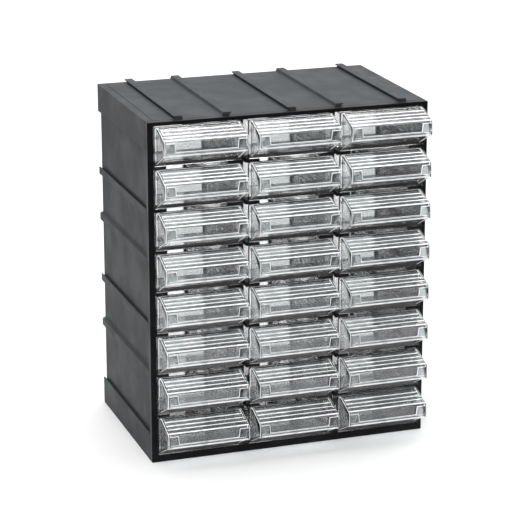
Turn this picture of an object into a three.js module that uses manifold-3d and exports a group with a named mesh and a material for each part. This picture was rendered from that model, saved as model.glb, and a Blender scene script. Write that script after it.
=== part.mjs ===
// Parts organizer: a free-standing modular cabinet with 24 clear drawers in 3 columns and 8 rows.
// Millimetres, +Z up, the drawers open towards -Y. The origin is the bottom centre of the
// bounding box of the closed cabinet, handles and coupling rails included.

import * as THREE from 'three';
import { mergeVertices } from 'three/addons/utils/BufferGeometryUtils.js';
import Module from 'manifold-3d';

// ---- Driving dimensions ----------------------------------------------------------------------

const CASE_H = 280;
const MODULE = CASE_H / 6; // coupling grid: the case is 5 modules wide and 6 modules high
const CASE_W = 5 * MODULE;
const CASE_D = 148;
const GAP = 0.3; // clearance between fixed pieces

const WALL = 2.5; // thickness of the case panels
const RAIL_H = 2.5; // how far a coupling rail stands off its panel
const RAIL_W = 7.3;
const RAIL_LIP = 1.1; // thickness of the hooked edge of a rail
const RAIL_HOOK = 1.7; // how far the hooked edge overhangs
const RAIL_SLOPE = 0.9; // run of the sloped edge on a rail's other side
const SEAM = 6.5; // the left panel wraps this far over the top and under the bottom
const RIGHT_FOOT = 8; // flush strip along the bottom panel's right edge

const FRAME_D = 5.7; // depth of the front frame
const FRAME_SIDE = 5;
const FRAME_TOP = 3.2;
const FRAME_BOTTOM = 7.3;

const COLUMNS = 3;
const ROWS = 8;
const COLUMN_PITCH = 76.4;
const ROW_PITCH = 34;
const PARTITION_T = 2.4;
const SHELF_T = 2;
const SHELF_RIM = 5; // solid strip along the front and back of shelves and partitions
const SHELF_LEDGE = 6; // solid strip beside each partition, which carries the drawers' sides
const PARTITION_RIM = 3; // solid strip above and below each shelf
const CRATE_BAR = 14; // solid strip between the front and the back window of a cell
const CRATE_FRONT_WINDOW = 34; // depth of the front window
const WINDOW_CORNER = 6;
const BLOCK_H = 3.6; // blocks at each cell's front corners, behind the gap between two plates
const BLOCK_W = 12;
const BLOCK_INSET = 1; // from the front frame's face to the blocks
const BACK_RIM = 4; // solid strip round each window of the back frame
const RUNNER_W = 3; // ribs on the bottom panel that the lowest drawers slide on

const PLATE_W = 71; // drawer front plate
const PLATE_H = 31.6;
const PLATE_T = 2.6;
const PLATE_GAP = 0.6; // between the plate and the front frame
const LOWEST_PLATE = FRAME_BOTTOM + GAP;

const TRAY_W = 68.6; // drawer body
const TRAY_L = 143;
const TRAY_H = 29.4;
const TRAY_WALL = 1.6;
const SCOOP_R = 12; // the floor curves up into the front
const HEEL_R = 5; // and into the back

const HANDLE_REACH = 22.4; // from the plate's face to the handle's front
const HANDLE_DROP = 6.6; // from the plate's top edge to the handle's front edge
const HANDLE_FOOT = 12.5; // height of the handle's lower edge above the plate's
const HANDLE_T = 1.8;
const POCKET_DEPTH = 1.5; // label pocket: the ledge and tabs stand this far in front of the face
const LEDGE_H = 2.4;
const TAB_W = 8;
const CHEEK_T = 1.8;
const CHEEK_INSET = 1.7; // cheeks sit this far in from the plate's edges

// ---- Derived places --------------------------------------------------------------------------

const LEFT = -CASE_W / 2;
const RIGHT = CASE_W / 2;
const FRONT = -CASE_D / 2;
const BACK = CASE_D / 2;
const PANEL_FRONT = FRONT + FRAME_D + GAP;
const INNER_LEFT = LEFT + RAIL_H + WALL;
const INNER_RIGHT = RIGHT - WALL;
const INNER_BOTTOM = RAIL_H + WALL;
const INNER_TOP = CASE_H - WALL;
const INNER_BACK = BACK - WALL;
const CRATE_BACK = INNER_BACK - GAP;
const CRATE_MIDDLE = (PANEL_FRONT + CRATE_BACK) / 2;
const WINDOW_FRONT = PANEL_FRONT + SHELF_RIM;
const BAR_FRONT = WINDOW_FRONT + CRATE_FRONT_WINDOW;
const CRATE_WINDOWS = [[WINDOW_FRONT, BAR_FRONT], [BAR_FRONT + CRATE_BAR, CRATE_BACK - SHELF_RIM]];
const CELL_W = COLUMN_PITCH - PARTITION_T;
const PLATE_FACE = FRONT - PLATE_GAP - PLATE_T;
const HANDLE_FRONT = PLATE_FACE - HANDLE_REACH;
const CHEEK_X = PLATE_W / 2 - CHEEK_INSET;

const columnX = (column) => (column - (COLUMNS + 1) / 2) * COLUMN_PITCH;
const plateZ = (row) => LOWEST_PLATE + (ROWS - row) * ROW_PITCH;

// ---- Solids ----------------------------------------------------------------------------------

const wasm = await Module();
wasm.setup();

// An outline pushed along one axis: (u, v) is (x, z) along Y, (y, z) along X and (x, y) along Z.
const AXES = {
  X: [new THREE.Vector3(0, 1, 0), new THREE.Vector3(0, 0, 1), new THREE.Vector3(1, 0, 0)],
  Y: [new THREE.Vector3(1, 0, 0), new THREE.Vector3(0, 0, 1), new THREE.Vector3(0, -1, 0)],
  Z: [new THREE.Vector3(1, 0, 0), new THREE.Vector3(0, 1, 0), new THREE.Vector3(0, 0, 1)],
};

function extrude(outline, axis, from, to, holes = []) {
  const shape = new THREE.Shape(outline.map(([u, v]) => new THREE.Vector2(u, v)));
  shape.holes = holes.map((hole) => new THREE.Path(hole.map(([u, v]) => new THREE.Vector2(u, v))));
  const geometry = new THREE.ExtrudeGeometry(shape, { depth: to - from, bevelEnabled: false });
  geometry.applyMatrix4(new THREE.Matrix4().makeBasis(...AXES[axis]));
  const [dx, dy, dz] = { X: [from, 0, 0], Y: [0, to, 0], Z: [0, 0, from] }[axis];
  return geometry.translate(dx, dy, dz);
}

const rectangle = (u0, v0, u1, v1) => [[u0, v0], [u1, v0], [u1, v1], [u0, v1]];

function box(x0, y0, z0, x1, y1, z1) {
  return new THREE.BoxGeometry(x1 - x0, y1 - y0, z1 - z0)
    .translate((x0 + x1) / 2, (y0 + y1) / 2, (z0 + z1) / 2);
}

function arc(u, v, radius, fromDegrees, toDegrees, steps) {
  return Array.from({ length: steps + 1 }, (_, i) => {
    const a = THREE.MathUtils.degToRad(fromDegrees + ((toDegrees - fromDegrees) * i) / steps);
    return [u + radius * Math.cos(a), v + radius * Math.sin(a)];
  });
}

function roundedRectangle(u0, v0, u1, v1, r) {
  return [
    ...arc(u1 - r, v0 + r, r, 270, 360, 3), ...arc(u1 - r, v1 - r, r, 0, 90, 3),
    ...arc(u0 + r, v1 - r, r, 90, 180, 3), ...arc(u0 + r, v0 + r, r, 180, 270, 3),
  ];
}

function toSolid(geometry) {
  const bare = geometry.clone();
  bare.deleteAttribute('normal');
  bare.deleteAttribute('uv');
  const merged = mergeVertices(bare, 1e-4);
  return new wasm.Manifold(new wasm.Mesh({
    numProp: 3,
    vertProperties: new Float32Array(merged.attributes.position.array),
    triVerts: new Uint32Array(merged.index.array),
  }));
}

function toGeometry(solid) {
  const mesh = solid.getMesh();
  const geometry = new THREE.BufferGeometry();
  geometry.setAttribute('position', new THREE.BufferAttribute(mesh.vertProperties, 3));
  geometry.setIndex(new THREE.BufferAttribute(mesh.triVerts, 1));
  geometry.computeVertexNormals();
  return geometry;
}

const join = (geometries) => geometries.map(toSolid).reduce((whole, next) => whole.add(next));

// ---- Coupling rails --------------------------------------------------------------------------

// One rail as outline points (s, h): s runs along the panel and h stands off it.
function hookedLow(s0, s1) {
  return [[s0 + RAIL_HOOK, 0], [s0 + RAIL_HOOK, RAIL_H - RAIL_LIP], [s0, RAIL_H - RAIL_LIP],
    [s0, RAIL_H], [s1 - RAIL_SLOPE, RAIL_H], [s1, 0]];
}

function hookedHigh(s0, s1) {
  return hookedLow(-s1, -s0).reverse().map(([s, h]) => [-s, h]);
}

// Rails come in outward-hooked pairs one module wide, on every other module.
function railPair(start, clearance) {
  const [low, high] = [start + clearance, start + MODULE - clearance];
  return [...hookedLow(low, low + RAIL_W - clearance), ...hookedHigh(high - RAIL_W + clearance, high)];
}

// Raised pairs start half a module in. The last one on a 5-module side has only its first rail.
const raisedSixModules = [0.5, 2.5, 4.5].flatMap((n) => railPair(n * MODULE, 0));
const raisedFiveModules = [
  ...[0.5, 2.5].flatMap((n) => railPair(n * MODULE, 0)),
  ...hookedLow(4.5 * MODULE, 4.5 * MODULE + RAIL_W),
];

// Sunk panels are the counterpart: their rails are flush with the case and fill the modules between.
const SLIDE_CLEARANCE = 0.4;
const sunkPairs = [1.5, 3.5].flatMap((n) => railPair(n * MODULE, SLIDE_CLEARANCE));
const bandEnd = hookedHigh(0, 0.5 * MODULE - SLIDE_CLEARANCE).slice(2);
const bandStart = (length) => bandEnd.map(([s, h]) => [length - s, h]).reverse();

// ---- Case ------------------------------------------------------------------------------------

// The front frame: a plain ring, one step deep, that closes the panels' front edges.
function frontFrame() {
  const opening = rectangle(LEFT + FRAME_SIDE, FRAME_BOTTOM, RIGHT - FRAME_SIDE, CASE_H - FRAME_TOP);
  return extrude(rectangle(LEFT, 0, RIGHT, CASE_H), 'Y', FRONT, FRONT + FRAME_D, [opening]);
}

// The left panel lies one rail height inside the case, with bands and rails flush with it.
function leftPanel() {
  const outside = [[0, RAIL_H], ...bandEnd, ...sunkPairs, ...bandStart(CASE_H), [CASE_H, RAIL_H]]
    .map(([s, h]) => [LEFT + RAIL_H - h, s]);
  const inside = [
    [LEFT + SEAM, CASE_H], [LEFT + SEAM, INNER_TOP], [INNER_LEFT, INNER_TOP],
    [INNER_LEFT, INNER_BOTTOM], [LEFT + SEAM, INNER_BOTTOM], [LEFT + SEAM, 0],
  ];
  return extrude([...outside, ...inside], 'Y', PANEL_FRONT, BACK);
}

function rightPanel() {
  const top = INNER_TOP - GAP;
  const outside = raisedSixModules.map(([s, h]) => [RIGHT + h, s]);
  const outline = [[INNER_RIGHT, 0], [RIGHT, 0], ...outside, [RIGHT, top], [INNER_RIGHT, top]];
  return extrude(outline, 'Y', PANEL_FRONT, BACK);
}

function topPanel() {
  const start = LEFT + SEAM + GAP;
  const outside = raisedFiveModules.map(([s, h]) => [LEFT + s, CASE_H + h]);
  const outline = [[start, INNER_TOP], [start, CASE_H], ...outside, [RIGHT, CASE_H], [RIGHT, INNER_TOP]];
  return extrude(outline, 'Y', PANEL_FRONT, BACK);
}

// The bottom panel: sunk like the left one, with two runners under each of the lowest drawers.
function bottomPanel() {
  const [start, end] = [LEFT + SEAM + GAP, INNER_RIGHT - GAP];
  const outside = [...bandEnd, ...sunkPairs, [CASE_W - RIGHT_FOOT, 0], [CASE_W - RIGHT_FOOT, RAIL_H]]
    .map(([s, h]) => [LEFT + s, RAIL_H - h]);
  const outline = [[start, 0], ...outside, [end, 0], [end, INNER_BOTTOM], [start, INNER_BOTTOM]];
  const pieces = [extrude(outline, 'Y', PANEL_FRONT, BACK)];
  for (let column = 1; column <= COLUMNS; column += 1) {
    for (const side of [-1, 1]) {
      const x = columnX(column) + (side * TRAY_W) / 4 - RUNNER_W / 2;
      pieces.push(box(x, PANEL_FRONT, INNER_BOTTOM - 1, x + RUNNER_W, CRATE_BACK, FRAME_BOTTOM));
    }
  }
  return toGeometry(join(pieces));
}

// The back is open: a flat frame with one tall window behind each column of drawers.
function backFrame() {
  const [z0, z1] = [INNER_BOTTOM + GAP, INNER_TOP - GAP];
  const half = TRAY_W / 2 - BACK_RIM / 2;
  const windows = [];
  for (let column = 1; column <= COLUMNS; column += 1) {
    const x = columnX(column);
    windows.push(roundedRectangle(x - half, z0 + BACK_RIM, x + half, z1 - BACK_RIM, WINDOW_CORNER));
  }
  return extrude(rectangle(INNER_LEFT + GAP, z0, INNER_RIGHT - GAP, z1), 'Y', INNER_BACK, BACK, windows);
}

// Shelves and partitions cross like an egg crate: shelves are slotted in their front half and
// partitions in their back half. Both have a front and a back window in every cell.
const partitionX = (index) => (columnX(index) + columnX(index + 1)) / 2;
const shelfTop = (row) => plateZ(row) - GAP;

// The drawers rest on the ledges left along both sides of the windows.
function shelfWindows() {
  const half = CELL_W / 2 - SHELF_LEDGE;
  const windows = [];
  for (let column = 1; column <= COLUMNS; column += 1) {
    const x = columnX(column);
    for (const [y0, y1] of CRATE_WINDOWS) {
      windows.push(roundedRectangle(x - half, y0, x + half, y1, WINDOW_CORNER));
    }
  }
  return windows;
}

function shelfBlocks() {
  const [y0, y1] = [FRONT + BLOCK_INSET, PANEL_FRONT + SHELF_RIM - 1];
  const limit = CASE_W / 2 - FRAME_SIDE - GAP;
  const blocks = [];
  for (let column = 1; column <= COLUMNS; column += 1) {
    for (const side of [-1, 1]) {
      const near = columnX(column) + side * (CELL_W / 2 - BLOCK_W);
      const far = columnX(column) + side * (CELL_W / 2 - GAP);
      const [x0, x1] = side < 0 ? [Math.max(far, -limit), near] : [near, Math.min(far, limit)];
      blocks.push(box(x0, y0, -BLOCK_H, x1, y1, 0));
    }
  }
  return blocks;
}

function shelf() {
  const front = [];
  for (let index = 1; index < COLUMNS; index += 1) {
    const half = PARTITION_T / 2 + GAP;
    const [x0, x1] = [partitionX(index) - half, partitionX(index) + half];
    front.push([x0, PANEL_FRONT], [x0, CRATE_MIDDLE], [x1, CRATE_MIDDLE], [x1, PANEL_FRONT]);
  }
  const [x0, x1] = [INNER_LEFT + GAP, INNER_RIGHT - GAP];
  const outline = [[x0, PANEL_FRONT], ...front, [x1, PANEL_FRONT], [x1, CRATE_BACK], [x0, CRATE_BACK]];
  return toGeometry(join([extrude(outline, 'Z', -SHELF_T, 0, shelfWindows()), ...shelfBlocks()]));
}

function partitionWindows() {
  const windows = [];
  for (let row = 1; row <= ROWS; row += 1) {
    const z0 = shelfTop(row) + PARTITION_RIM;
    const z1 = shelfTop(row - 1) - SHELF_T - PARTITION_RIM;
    for (const [y0, y1] of CRATE_WINDOWS) {
      windows.push(roundedRectangle(y0, z0, y1, z1, WINDOW_CORNER));
    }
  }
  return windows;
}

function partition() {
  const back = [];
  for (let row = ROWS - 1; row >= 1; row -= 1) {
    const [z0, z1] = [shelfTop(row) - SHELF_T - GAP, shelfTop(row) + GAP];
    const middle = CRATE_MIDDLE - GAP;
    back.push([CRATE_BACK, z0], [middle, z0], [middle, z1], [CRATE_BACK, z1]);
  }
  const [bottom, top] = [INNER_BOTTOM + GAP, INNER_TOP - GAP];
  const outline = [
    [PANEL_FRONT, bottom], [CRATE_BACK, bottom], ...back, [CRATE_BACK, top], [PANEL_FRONT, top],
  ];
  return extrude(outline, 'X', -PARTITION_T / 2, PARTITION_T / 2, partitionWindows());
}

// ---- Drawer ----------------------------------------------------------------------------------

// Drawer coordinates: x from the middle, y back from the plate's face, z up from its lower edge.
function drawerTray() {
  const [front, back] = [PLATE_T, PLATE_T + TRAY_L];
  const skin = (inset, top) => [
    [front + inset, top],
    ...arc(front + SCOOP_R, SCOOP_R, SCOOP_R - inset, 180, 270, 4),
    ...arc(back - HEEL_R, HEEL_R, HEEL_R - inset, 270, 360, 2),
    [back - inset, top],
  ];
  const half = TRAY_W / 2;
  const outer = toSolid(extrude(skin(0, TRAY_H), 'X', -half, half));
  const inner = toSolid(extrude(skin(TRAY_WALL, TRAY_H + 1), 'X', TRAY_WALL - half, half - TRAY_WALL));
  return outer.subtract(inner);
}

// The handle: a top that slopes forward, a front face with a ledge below, and two end cheeks.
const HANDLE_EDGE = PLATE_H - HANDLE_DROP;
const FACE = POCKET_DEPTH - HANDLE_REACH;

function handleShell() {
  const [behind, under] = [FACE + HANDLE_T, HANDLE_EDGE - HANDLE_T];
  return extrude([
    [0.5, PLATE_H - 0.4], [FACE, HANDLE_EDGE], [FACE, HANDLE_FOOT + LEDGE_H],
    [-HANDLE_REACH, HANDLE_FOOT + LEDGE_H], [-HANDLE_REACH, HANDLE_FOOT],
    [behind, HANDLE_FOOT], [behind, under], [0.5, PLATE_H - 0.4 - HANDLE_T],
  ], 'X', -CHEEK_X + 0.5, CHEEK_X - 0.5);
}

function handleCheek(side) {
  const [x0, x1] = side < 0 ? [-CHEEK_X, CHEEK_T - CHEEK_X] : [CHEEK_X - CHEEK_T, CHEEK_X];
  return extrude([
    [0.5, 1.5], [0.5, PLATE_H - 0.3], [-HANDLE_REACH * 0.55, PLATE_H - HANDLE_DROP * 0.55],
    [1.5 - HANDLE_REACH, HANDLE_EDGE - 0.4], [-HANDLE_REACH, HANDLE_EDGE - 2.2],
    [-HANDLE_REACH, HANDLE_FOOT], [2.5 - HANDLE_REACH, HANDLE_FOOT - 0.4],
  ].reverse(), 'X', x0, x1);
}

function pocketTab(side) {
  const [x0, x1] = side < 0 ? [0.5 - CHEEK_X, TAB_W - CHEEK_X] : [CHEEK_X - TAB_W, CHEEK_X - 0.5];
  return box(x0, -HANDLE_REACH, HANDLE_FOOT + 1, x1, FACE + 0.5, HANDLE_EDGE - 2.2);
}

function drawer() {
  const plate = box(-PLATE_W / 2, 0, 0, PLATE_W / 2, PLATE_T + 0.01, PLATE_H);
  const front = join([
    plate, handleShell(), handleCheek(-1), handleCheek(1), pocketTab(-1), pocketTab(1),
  ]);
  return toGeometry(front.add(drawerTray()));
}

// ---- Assembly --------------------------------------------------------------------------------

const organizer = new THREE.Group();
organizer.position.set(-RAIL_H / 2, -(HANDLE_FRONT + BACK) / 2, 0);

function place(name, geometry, finish, x = 0, y = 0, z = 0) {
  const mesh = new THREE.Mesh(geometry, new THREE.MeshStandardMaterial(finish));
  mesh.name = name;
  mesh.position.set(x, y, z);
  organizer.add(mesh);
}

const PANEL_FINISH = { color: 0x3b3f43, roughness: 0.55, metalness: 0 };
const CORE_FINISH = { color: 0x141516, roughness: 0.6, metalness: 0 };
const CLEAR_FINISH = { color: 0xe6ebec, roughness: 0.08, metalness: 0 };

place('front_frame', frontFrame(), CORE_FINISH);
place('left_side_panel', leftPanel(), PANEL_FINISH);
place('right_side_panel', rightPanel(), PANEL_FINISH);
place('top_panel', topPanel(), PANEL_FINISH);
place('bottom_panel', bottomPanel(), PANEL_FINISH);
place('back_frame', backFrame(), PANEL_FINISH);

for (let index = 1; index < COLUMNS; index += 1) {
  place(`column_partition_${index}`, partition(), CORE_FINISH, partitionX(index));
}
for (let row = 1; row < ROWS; row += 1) {
  place(`shelf_under_row_${row}`, shelf(), CORE_FINISH, 0, 0, shelfTop(row));
}

const drawerGeometry = drawer();
for (let row = 1; row <= ROWS; row += 1) {
  for (let column = 1; column <= COLUMNS; column += 1) {
    const name = `drawer_row_${row}_column_${column}`;
    place(name, drawerGeometry, CLEAR_FINISH, columnX(column), PLATE_FACE, plateZ(row));
  }
}

export default organizer;
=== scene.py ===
import math

import bmesh
import bpy
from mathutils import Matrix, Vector


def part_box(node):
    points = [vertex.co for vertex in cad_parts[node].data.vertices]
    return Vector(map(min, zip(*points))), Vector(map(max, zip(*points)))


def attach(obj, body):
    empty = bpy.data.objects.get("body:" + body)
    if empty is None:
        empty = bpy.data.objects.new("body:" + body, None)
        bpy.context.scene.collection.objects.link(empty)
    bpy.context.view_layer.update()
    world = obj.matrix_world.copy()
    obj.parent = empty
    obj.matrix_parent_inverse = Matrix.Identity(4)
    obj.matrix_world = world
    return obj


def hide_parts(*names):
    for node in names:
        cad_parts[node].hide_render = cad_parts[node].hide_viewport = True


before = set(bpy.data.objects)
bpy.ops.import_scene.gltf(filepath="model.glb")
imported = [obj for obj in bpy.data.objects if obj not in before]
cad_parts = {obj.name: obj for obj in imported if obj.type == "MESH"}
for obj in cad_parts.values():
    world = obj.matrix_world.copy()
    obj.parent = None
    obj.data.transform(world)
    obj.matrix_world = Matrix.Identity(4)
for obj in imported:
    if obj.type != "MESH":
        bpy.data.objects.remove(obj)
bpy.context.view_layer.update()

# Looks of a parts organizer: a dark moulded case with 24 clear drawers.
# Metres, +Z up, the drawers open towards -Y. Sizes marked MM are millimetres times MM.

MM = 0.001
ROWS, COLUMNS = 8, 3

case_low, case_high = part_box("front_frame")
case_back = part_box("back_frame")[1].y
case_centre = Vector((
    (case_low.x + case_high.x) / 2, (case_low.y + case_back) / 2, case_high.z / 2))


# ---- Camera, floor and lights ----------------------------------------------------------------

CAMERA_AZIMUTH = math.radians(-19.0)
CAMERA_ELEVATION = math.radians(17.1)
CAMERA_DISTANCE = 1.835
CAMERA_LENS = 150
CAMERA_ASIDE = 4.2 * MM  # the case stands this far left of the picture's middle
CAMERA_BELOW = 6.5 * MM  # and this far above it

WORLD_STRENGTH = 0.07
BACKDROP_STRENGTH = 1.3
FLOOR_SHADE_IN_FRONT = 0.12  # the floor's whiteness far in front of the object, greyed there as painted shade
FLOOR_AROUND = 0.6
FLOOR_LIGHT_BEHIND = 0.22  # painted light: how much whiter the floor gets far behind, where less lamp light falls
FLOOR_REACH = 8


def look_from(azimuth, elevation):
    """The unit vector from the object to a viewer. Azimuth 0 is straight in front of the drawers."""
    return Vector((
        math.sin(azimuth) * math.cos(elevation),
        -math.cos(azimuth) * math.cos(elevation),
        math.sin(elevation)))


def make_camera():
    camera = bpy.data.objects.new("camera", bpy.data.cameras.new("camera"))
    bpy.context.scene.collection.objects.link(camera)
    back = look_from(CAMERA_AZIMUTH, CAMERA_ELEVATION)
    right = Vector((math.cos(CAMERA_AZIMUTH), math.sin(CAMERA_AZIMUTH), 0))
    up = back.cross(right)
    camera.location = case_centre + back * CAMERA_DISTANCE + right * CAMERA_ASIDE - up * CAMERA_BELOW
    camera.rotation_mode = "QUATERNION"
    camera.rotation_quaternion = (-back).to_track_quat("-Z", "Y")
    camera.data.lens = CAMERA_LENS
    bpy.context.scene.camera = camera


def make_light(name, azimuth, elevation, distance, size, power):
    """A softbox that points at the case. Angles are in degrees, as seen from the case."""
    data = bpy.data.lights.new(name, "AREA")
    data.shape = "RECTANGLE"
    data.size, data.size_y = size
    data.energy = power
    light = bpy.data.objects.new(name, data)
    bpy.context.scene.collection.objects.link(light)
    back = look_from(math.radians(azimuth), math.radians(elevation))
    light.location = case_centre + back * distance
    light.rotation_mode = "QUATERNION"
    light.rotation_quaternion = (-back).to_track_quat("-Z", "Y")
    light.visible_camera = False


def white_backdrop():
    """Dim all round, with a wide white backdrop that stands behind the object."""
    world = bpy.data.worlds.new("studio")
    bpy.context.scene.world = world
    world.use_nodes = True
    nodes, links = world.node_tree.nodes, world.node_tree.links
    towards = coordinates(nodes, links, "Generated")
    behind = spread(nodes, links, towards["Y"], 0, 1, (0.2, 0.6))
    low = spread(nodes, links, towards["Z"], 1, 0, (0.45, 0.75))
    both = calculate(nodes, links, "MULTIPLY", behind, low)
    strength = spread(nodes, links, both, WORLD_STRENGTH, BACKDROP_STRENGTH, (0, 1))
    links.new(strength, nodes["Background"].inputs["Strength"])
    nodes["Background"].inputs["Color"].default_value = (1, 1, 1, 1)


def make_studio():
    bpy.context.scene.view_settings.view_transform = "Standard"
    white_backdrop()
    make_light("back_softbox", 150, 78, 3.2, (2.4, 2.4), 150)
    make_light("front_key", -15, 45, 3.4, (1.6, 1.6), 120)
    make_light("left_softbox", -85, 40, 3.2, (1.6, 2.0), 30)

    floor = bpy.data.objects.new("floor", bpy.data.meshes.new("floor"))
    corners = [(-1, -1), (1, -1), (1, 1), (-1, 1)]
    floor.data.from_pydata(
        [(x * FLOOR_REACH, y * FLOOR_REACH, 0) for x, y in corners], [], [(0, 1, 2, 3)])
    bpy.context.scene.collection.objects.link(floor)
    floor.data.materials.append(floor_with_painted_shading())


# ---- Materials -------------------------------------------------------------------------------

GLOSS_SPREAD = 0.06  # how far the moulded plastic's roughness varies either way
CLEAR = (0.82, 0.84, 0.845)
# The white of the painted edge highlight.
EDGE_HIGHLIGHT_WHITE = (0.97, 0.98, 0.98)
LAMP_LIGHT_PASSED = (0.86, 0.88, 0.88, 1)
CLEAR_IOR = 1.49
WALL_OPACITY = 0.25


def new_material(name):
    """A node material, its nodes and links, and its main shader."""
    material = bpy.data.materials.new(name)
    material.use_nodes = True
    nodes = material.node_tree.nodes
    return material, nodes, material.node_tree.links, nodes["Principled BSDF"]


def floor_with_painted_shading():
    """White round the object, with painted light that whitens it far behind and painted shade that
    greys it far in front, where the clear faces mirror it.
    """
    material, nodes, links, shader = new_material("pale_floor")
    place = coordinates(nodes, links, "Object")
    # Painted shade far in front, and painted light far behind.
    front_shade_ramp = spread(nodes, links, place["Y"], FLOOR_SHADE_IN_FRONT, FLOOR_AROUND, (-0.6, -0.25))
    light_behind_ramp = spread(nodes, links, place["Y"], 0, FLOOR_LIGHT_BEHIND, (0.3, 2))
    links.new(calculate(nodes, links, "ADD", front_shade_ramp, light_behind_ramp), shader.inputs["Base Color"])
    shader.inputs["Roughness"].default_value = 0.75
    return material


def coordinates(nodes, links, kind):
    """The X, Y and Z of a kind of texture coordinate, such as Object."""
    source = nodes.new("ShaderNodeTexCoord")
    split = nodes.new("ShaderNodeSeparateXYZ")
    links.new(source.outputs[kind], split.inputs["Vector"])
    return split.outputs


def noise(nodes, links, scale, detail, stretch=(1, 1, 1)):
    """A noise texture in the object's own metres, stretched by stretch."""
    place = nodes.new("ShaderNodeTexCoord")
    mapping = nodes.new("ShaderNodeMapping")
    mapping.inputs["Scale"].default_value = stretch
    texture = nodes.new("ShaderNodeTexNoise")
    texture.inputs["Scale"].default_value = scale
    texture.inputs["Detail"].default_value = detail
    links.new(place.outputs["Object"], mapping.inputs["Vector"])
    links.new(mapping.outputs["Vector"], texture.inputs["Vector"])
    return texture.outputs["Fac"]


def spread(nodes, links, source, low, high, across=(0.3, 0.7)):
    """Maps the source's range across to low-high, smoothly."""
    node = nodes.new("ShaderNodeMapRange")
    node.interpolation_type = "SMOOTHSTEP"
    node.inputs["From Min"].default_value, node.inputs["From Max"].default_value = across
    node.inputs["To Min"].default_value = low
    node.inputs["To Max"].default_value = high
    links.new(source, node.inputs["Value"])
    return node.outputs["Result"]


def calculate(nodes, links, operation, first, second):
    """The result of a math operation, such as MULTIPLY, on two values."""
    node = nodes.new("ShaderNodeMath")
    node.operation = operation
    links.new(first, node.inputs[0])
    links.new(second, node.inputs[1])
    return node.outputs["Value"]


def mix_colours(nodes, links, factor, first, second):
    """The first colour where factor is 0 and the second where it is 1."""
    node = nodes.new("ShaderNodeMix")
    node.data_type = "RGBA"
    links.new(factor, node.inputs["Factor"])
    for name, colour in (("A", first), ("B", second)):
        socket = next(s for s in node.inputs if s.name == name and s.type == "RGBA")
        socket.default_value = (*colour, 1)
    return next(s for s in node.outputs if s.type == "RGBA")


def moulded_plastic(name, dark, light, roughness, specular):
    """Satin moulded plastic: faint flow marks in colour and gloss, and a fine spark-eroded grain."""
    material, nodes, links, shader = new_material(name)
    flow = noise(nodes, links, 14, 5, (1, 0.35, 1))
    links.new(mix_colours(nodes, links, flow, dark, light), shader.inputs["Base Color"])
    low, high = roughness - GLOSS_SPREAD, roughness + GLOSS_SPREAD
    gloss = spread(nodes, links, noise(nodes, links, 40, 6), low, high)
    links.new(gloss, shader.inputs["Roughness"])
    shader.inputs["Specular IOR Level"].default_value = specular
    grain = nodes.new("ShaderNodeBump")
    grain.inputs["Strength"].default_value = 0.12
    grain.inputs["Distance"].default_value = 0.12 * MM
    links.new(noise(nodes, links, 2600, 2), grain.inputs["Height"])
    links.new(grain.outputs["Normal"], shader.inputs["Normal"])
    return material


def clear_plastic(name, colour, transmission, specular, haze, opacity=1):
    """Clear moulded plastic. It scatters what it doesn't transmit, and haze is its roughness range.

    Lamp light passes straight through. Opacity below 1 suits thin walls, which bend light little.
    """
    material, nodes, links, shader = new_material(name)
    shader.inputs["Base Color"].default_value = (*colour, 1)
    shader.inputs["Transmission Weight"].default_value = transmission
    shader.inputs["IOR"].default_value = CLEAR_IOR
    shader.inputs["Alpha"].default_value = opacity
    shader.inputs["Specular IOR Level"].default_value = specular
    roughness = spread(nodes, links, noise(nodes, links, 60, 4), *haze)
    links.new(roughness, shader.inputs["Roughness"])
    path = nodes.new("ShaderNodeLightPath")
    through = nodes.new("ShaderNodeBsdfTransparent")
    through.inputs["Color"].default_value = LAMP_LIGHT_PASSED
    mix = nodes.new("ShaderNodeMixShader")
    links.new(path.outputs["Is Shadow Ray"], mix.inputs["Fac"])
    links.new(shader.outputs["BSDF"], mix.inputs[1])
    links.new(through.outputs["BSDF"], mix.inputs[2])
    links.new(mix.outputs["Shader"], nodes["Material Output"].inputs["Surface"])
    return material


# ---- Mesh tools ------------------------------------------------------------------------------

def smooth(mesh):
    """Smooth shading, except across edges sharper than 24 degrees."""
    mesh.polygons.foreach_set("use_smooth", [True] * len(mesh.polygons))
    mesh.set_sharp_from_angle(angle=math.radians(24))


def soften_edges(obj, width, material=-1):
    """Rounds the sharp edges of obj and keeps its flat faces flat. Material -1 keeps the faces' own."""
    bevel = obj.modifiers.new("rounded_edges", "BEVEL")
    bevel.width = width
    bevel.segments = 2
    bevel.limit_method = "ANGLE"
    bevel.angle_limit = math.radians(32)
    bevel.use_clamp_overlap = True
    bevel.harden_normals = True
    bevel.material = material


def arc(u, v, radius, start, end, steps):
    """Points on a round stretch of an outline. Angles are in degrees."""
    angles = [math.radians(start + (end - start) * i / steps) for i in range(steps + 1)]
    return [(u + radius * math.cos(a), v + radius * math.sin(a)) for a in angles]


def prism(outline, axis, start, end):
    """A closed solid: outline (y, z) pushed along X, or (x, z) pushed along Y, from start to end."""
    place = {"X": lambda s, u, v: (s, u, v), "Y": lambda s, u, v: (u, s, v)}[axis]
    mesh = bmesh.new()
    rings = [[mesh.verts.new(place(s, u, v)) for u, v in outline] for s in (start, end)]
    mesh.faces.new(rings[0])
    mesh.faces.new(rings[1])
    for i in range(len(outline)):
        j = (i + 1) % len(outline)
        mesh.faces.new((rings[0][i], rings[0][j], rings[1][j], rings[1][i]))
    bmesh.ops.recalc_face_normals(mesh, faces=mesh.faces)
    data = bpy.data.meshes.new("solid")
    mesh.to_mesh(data)
    mesh.free()
    obj = bpy.data.objects.new("solid", data)
    bpy.context.scene.collection.objects.link(obj)
    return obj


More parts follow.
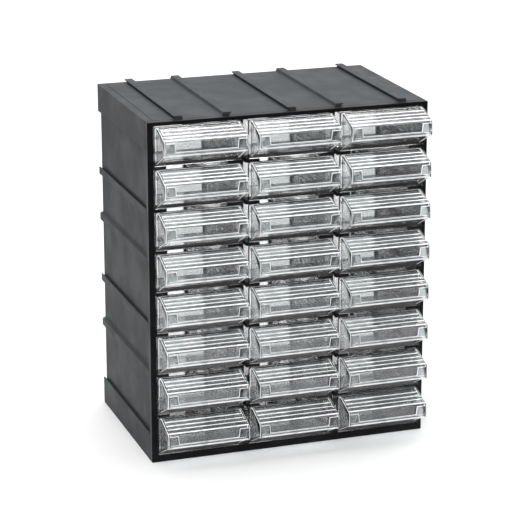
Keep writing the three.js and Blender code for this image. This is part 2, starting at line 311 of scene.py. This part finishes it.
def combine(base, others, operation):
    """Joins or cuts closed solids into one, and returns it."""
    for other in others:
        modifier = base.modifiers.new("combine", "BOOLEAN")
        modifier.operation = operation
        modifier.solver = "EXACT"
        modifier.object = other
    bpy.context.view_layer.update()
    graph = bpy.context.evaluated_depsgraph_get()
    data = bpy.data.meshes.new_from_object(base.evaluated_get(graph))
    for obj in [base, *others]:
        bpy.data.objects.remove(obj)
    made = bpy.data.objects.new("solid", data)
    bpy.context.scene.collection.objects.link(made)
    return made


def tidy(mesh):
    """Merges doubled points and flat triangles left by a join."""
    work = bmesh.new()
    work.from_mesh(mesh)
    bmesh.ops.remove_doubles(work, verts=work.verts, dist=0.01 * MM)
    bmesh.ops.dissolve_limit(
        work, angle_limit=math.radians(0.5), verts=work.verts, edges=work.edges,
        delimit={"MATERIAL"})
    work.to_mesh(mesh)
    work.free()


# ---- Drawer ----------------------------------------------------------------------------------
# Drawer coordinates: x from the middle, y back from the front plate's face, z up from its foot.

# A drawer has four materials, which its faces name by number. The second one, white and mostly
# scattering, is a painted highlight on rims, narrow faces and rounded edges.
BODY, EDGE_HIGHLIGHT, GRIP, WALL = range(4)

drawer_low, drawer_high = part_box("drawer_row_1_column_1")
HANDLE_REACH = 22.4 * MM
PLATE_W = drawer_high.x - drawer_low.x
PLATE_H = drawer_high.z - drawer_low.z
PLATE_T = 2.6 * MM
PLATE_TOP = PLATE_H - 0.5 * MM
TRAY_BACK = drawer_high.y - drawer_low.y - HANDLE_REACH
TRAY_W = 68.6 * MM
TRAY_H = 29.4 * MM
TRAY_WALL = 1.6 * MM
SCOOP_R = 12 * MM  # the floor curves up into the front
HEEL_R = 5 * MM  # and into the back
GUIDE_T = 0.8 * MM  # divider guides
OVERLAP = 0.4 * MM  # how far parts reach into each other before they are joined

SLOPE_TOP = PLATE_H - 0.8 * MM  # where the handle's slope starts
FACE_Y = -20.9 * MM  # the handle's front face
EDGE_Z = PLATE_H - 6.6 * MM  # its upper edge
FOOT_Z = 12.5 * MM  # its lower edge
SHELL_T = 1.8 * MM
LEDGE_H = 2.4 * MM
CHEEK_X = PLATE_W / 2 - 1.7 * MM
CHEEK_T = 1.8 * MM
TAB_W = 9 * MM
TAB_T = 0.9 * MM
LIP_H = 1.2 * MM
CHAMFER = 0.5 * MM
EDGE_HIGHLIGHT_STEP = 1.7 * MM  # narrower faces of the handle's profile get the edges' painted highlight

# Ribs across the slope. Shares are parts of its length.
RIB_H = 0.35 * MM
RIB_SHARES = (0.16, 0.4, 0.63)
RIB_SHARE = 0.13
RIB_FLANK = 0.02
NOSE_SHARES = (0.86, 0.88, 0.97)  # the last rib: its foot, its top and its front end


def front_plate():
    half, corner, top = PLATE_W / 2, 2 * MM, PLATE_TOP
    outline = [
        (-half, 0), (half, 0),
        *arc(half - corner, top - corner, corner, 0, 90, 5),
        *arc(corner - half, top - corner, corner, 90, 180, 5)]
    return prism(outline, "Y", 0, PLATE_T)


def tray():
    def skin(inset, top):
        return [
            (PLATE_T - OVERLAP + inset, top),
            *arc(PLATE_T + SCOOP_R, SCOOP_R, SCOOP_R - inset, 180, 270, 10),
            *arc(TRAY_BACK - HEEL_R, HEEL_R, HEEL_R - inset, 270, 360, 6),
            (TRAY_BACK - inset, top)]
    half = TRAY_W / 2
    outer = prism(skin(0, TRAY_H), "X", -half, half)
    inner = prism(skin(TRAY_WALL, TRAY_H + 1 * MM), "X", TRAY_WALL - half, half - TRAY_WALL)
    made = combine(outer, [inner], "DIFFERENCE")
    tidy(made.data)
    for face in made.data.polygons:
        # The rim's top faces get the painted edge highlight.
        face.material_index = EDGE_HIGHLIGHT if face.center.z > TRAY_H - 0.1 * MM else WALL
    return made


def divider_guides():
    """Thin upright ribs in pairs on both side walls, which hold a cross divider."""
    guides = []
    inside = TRAY_W / 2 - TRAY_WALL
    low, high = TRAY_WALL / 2, TRAY_H - 1 * MM
    for share in (1 / 3, 2 / 3):
        middle = PLATE_T + share * (TRAY_BACK - PLATE_T)
        for offset in (-1.6 * MM, 0.8 * MM):
            y = middle + offset
            outline = [(y, low), (y + GUIDE_T, low), (y + GUIDE_T, high), (y, high)]
            for side in (-1, 1):
                ends = sorted((side * (inside - GUIDE_T), side * (inside + OVERLAP)))
                guides.append(prism(outline, "X", *ends))
    return guides


def handle_shell():
    """The handle's sloping, ribbed top, its front face and the ledge below. Edges are chamfered, and
    narrow faces get the painted edge highlight.
    """
    start, end = Vector((0, SLOPE_TOP)), Vector((FACE_Y, EDGE_Z))
    along = end - start
    lift = Vector((along.y, -along.x)).normalized() * RIB_H

    def on_slope(share, raised):
        return tuple(start + along * share + (lift if raised else Vector((0, 0))))

    ribs = []
    for share in RIB_SHARES:
        ribs += [
            on_slope(share, False), on_slope(share + RIB_FLANK, True),
            on_slope(share + RIB_SHARE - RIB_FLANK, True), on_slope(share + RIB_SHARE, False)]
    behind = FACE_Y + SHELL_T
    under = EDGE_Z - SHELL_T
    ledge_front = -HANDLE_REACH
    nose_foot, nose_top, nose_front = NOSE_SHARES
    shell = prism([
        (PLATE_T / 2, SLOPE_TOP), on_slope(0, False), *ribs,
        on_slope(nose_foot, False), on_slope(nose_top, True), on_slope(nose_front, True),
        (FACE_Y, EDGE_Z - 0.4 * MM), (FACE_Y, FOOT_Z + LEDGE_H),
        (ledge_front + CHAMFER, FOOT_Z + LEDGE_H), (ledge_front, FOOT_Z + LEDGE_H - CHAMFER),
        (ledge_front, FOOT_Z + CHAMFER), (ledge_front + CHAMFER, FOOT_Z),
        (behind, FOOT_Z), (behind, under), (PLATE_T / 2, SLOPE_TOP - SHELL_T),
    ], "X", -CHEEK_X + OVERLAP, CHEEK_X - OVERLAP)
    for face in shell.data.polygons:
        across = [Vector(shell.data.vertices[i].co[1:]) for i in face.vertices]
        spans = [(a - b).length for a in across for b in across]
        # Faces narrower than the step get the painted edge highlight.
        if max(spans) < EDGE_HIGHLIGHT_STEP:
            face.material_index = EDGE_HIGHLIGHT
        elif face.normal.z > 0.9:
            face.material_index = GRIP
    return shell


def handle_cheek(side):
    """An end of the handle: it arches over from the plate's top to the front and slants back below."""
    crest = PLATE_H - 0.6 * MM
    nose = 3 * MM
    outline = [
        (PLATE_T / 2, 1.2 * MM), (2.5 * MM - HANDLE_REACH, FOOT_Z - 0.4 * MM),
        (-HANDLE_REACH, FOOT_Z),
        *arc(nose - HANDLE_REACH, EDGE_Z - nose + 0.2 * MM, nose, 180, 100, 6),
        (-HANDLE_REACH * 0.5, PLATE_H - 3.4 * MM),
        (-HANDLE_REACH * 0.2, PLATE_H - 1.1 * MM), (PLATE_T / 2, crest)]
    ends = sorted((side * CHEEK_X, side * (CHEEK_X - CHEEK_T)))
    return prism(outline, "X", *ends)


def pocket_frame():
    """Two end tabs and a low lip that hold the label card against the handle's face."""
    outer, inner, slant = CHEEK_X - OVERLAP, CHEEK_X - TAB_W, 0.8 * MM
    low, high = FOOT_Z + LEDGE_H / 2, EDGE_Z - 2 * MM
    lip = FOOT_Z + LEDGE_H + LIP_H
    outline = [
        (-outer, low), (outer, low), (outer, high), (inner + slant, high),
        (inner, lip), (-inner, lip), (-inner - slant, high), (-outer, high)]
    return prism(outline, "Y", -HANDLE_REACH, TAB_T - HANDLE_REACH)


def drawer_mesh(materials):
    """One closed clear moulding. The materials are in the order: body, painted edge highlight, satin
    grip and thin wall.
    """
    plate = front_plate()
    # These parts' rounded edges get the painted edge highlight.
    highlight_rimmed_parts = {pocket_frame(): 0.3 * MM, handle_cheek(-1): 0.4 * MM, handle_cheek(1): 0.4 * MM}
    for part, radius in highlight_rimmed_parts.items():
        soften_edges(part, radius, EDGE_HIGHLIGHT)
    soften_edges(plate, 0.25 * MM, BODY)
    others = [*highlight_rimmed_parts, tray(), handle_shell(), *divider_guides()]
    for part in [plate, *others]:
        for material in materials:
            part.data.materials.append(material)
    solid = combine(plate, others, "UNION")
    mesh = solid.data
    bpy.data.objects.remove(solid)
    tidy(mesh)
    smooth(mesh)
    mesh.name = "drawer"
    return mesh


def place_drawers():
    mesh = drawer_mesh([
        clear_plastic("clear_polystyrene", CLEAR, 1, 0.5, (0, 0.02)),
        # A white, mostly scattering plastic: the painted edge highlight.
        clear_plastic("painted_edge_highlight", EDGE_HIGHLIGHT_WHITE, 0.3, 0.5, (0.2, 0.35)),
        clear_plastic("satin_grip", CLEAR, 0.97, 0.2, (0.02, 0.06)),
        clear_plastic("thin_clear_wall", CLEAR, 1, 0.5, (0, 0.02), WALL_OPACITY)])
    for row in range(1, ROWS + 1):
        for column in range(1, COLUMNS + 1):
            node = f"drawer_row_{row}_column_{column}"
            low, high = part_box(node)
            piece = bpy.data.objects.new(f"clear_{node}", mesh)
            bpy.context.scene.collection.objects.link(piece)
            piece.location = ((low.x + high.x) / 2, low.y + HANDLE_REACH, low.z)
            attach(piece, node)
            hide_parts(node)


# ---- Case ------------------------------------------------------------------------------------

def refined(node, name, material, width):
    """A copy of a CAD node with merged faces and rounded edges, which stands for it."""
    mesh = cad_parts[node].data.copy()
    mesh.name = name
    tidy(mesh)
    piece = bpy.data.objects.new(name, mesh)
    bpy.context.scene.collection.objects.link(piece)
    smooth(mesh)
    soften_edges(piece, width)
    mesh.materials.clear()
    mesh.materials.append(material)
    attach(piece, "case")
    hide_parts(node)


def make_case():
    panel = moulded_plastic(
        "anthracite_panel", (0.026, 0.029, 0.0315), (0.0345, 0.038, 0.0415), 0.55, 0.12)
    # The front frame is painted this near black: painted shade over the panels' anthracite plastic.
    black = (0.002, 0.002, 0.0025), (0.004, 0.004, 0.0045)
    frame_painted_shade = moulded_plastic("frame_with_painted_shade", *black, 0.4, 0.12)
    core = moulded_plastic("black_core", *black, 0.4, 0.2)
    for node in ("left_side_panel", "right_side_panel", "top_panel", "bottom_panel", "back_frame"):
        refined(node, f"moulded_{node}", panel, 0.35 * MM)
    refined("front_frame", "moulded_front_frame", frame_painted_shade, 0.5 * MM)
    inner = [f"column_partition_{i}" for i in range(1, COLUMNS)]
    inner += [f"shelf_under_row_{row}" for row in range(1, ROWS)]
    for node in inner:
        refined(node, f"moulded_{node}", core, 0.3 * MM)


make_camera()
make_studio()
make_case()
place_drawers()

bpy.context.view_layer.update()
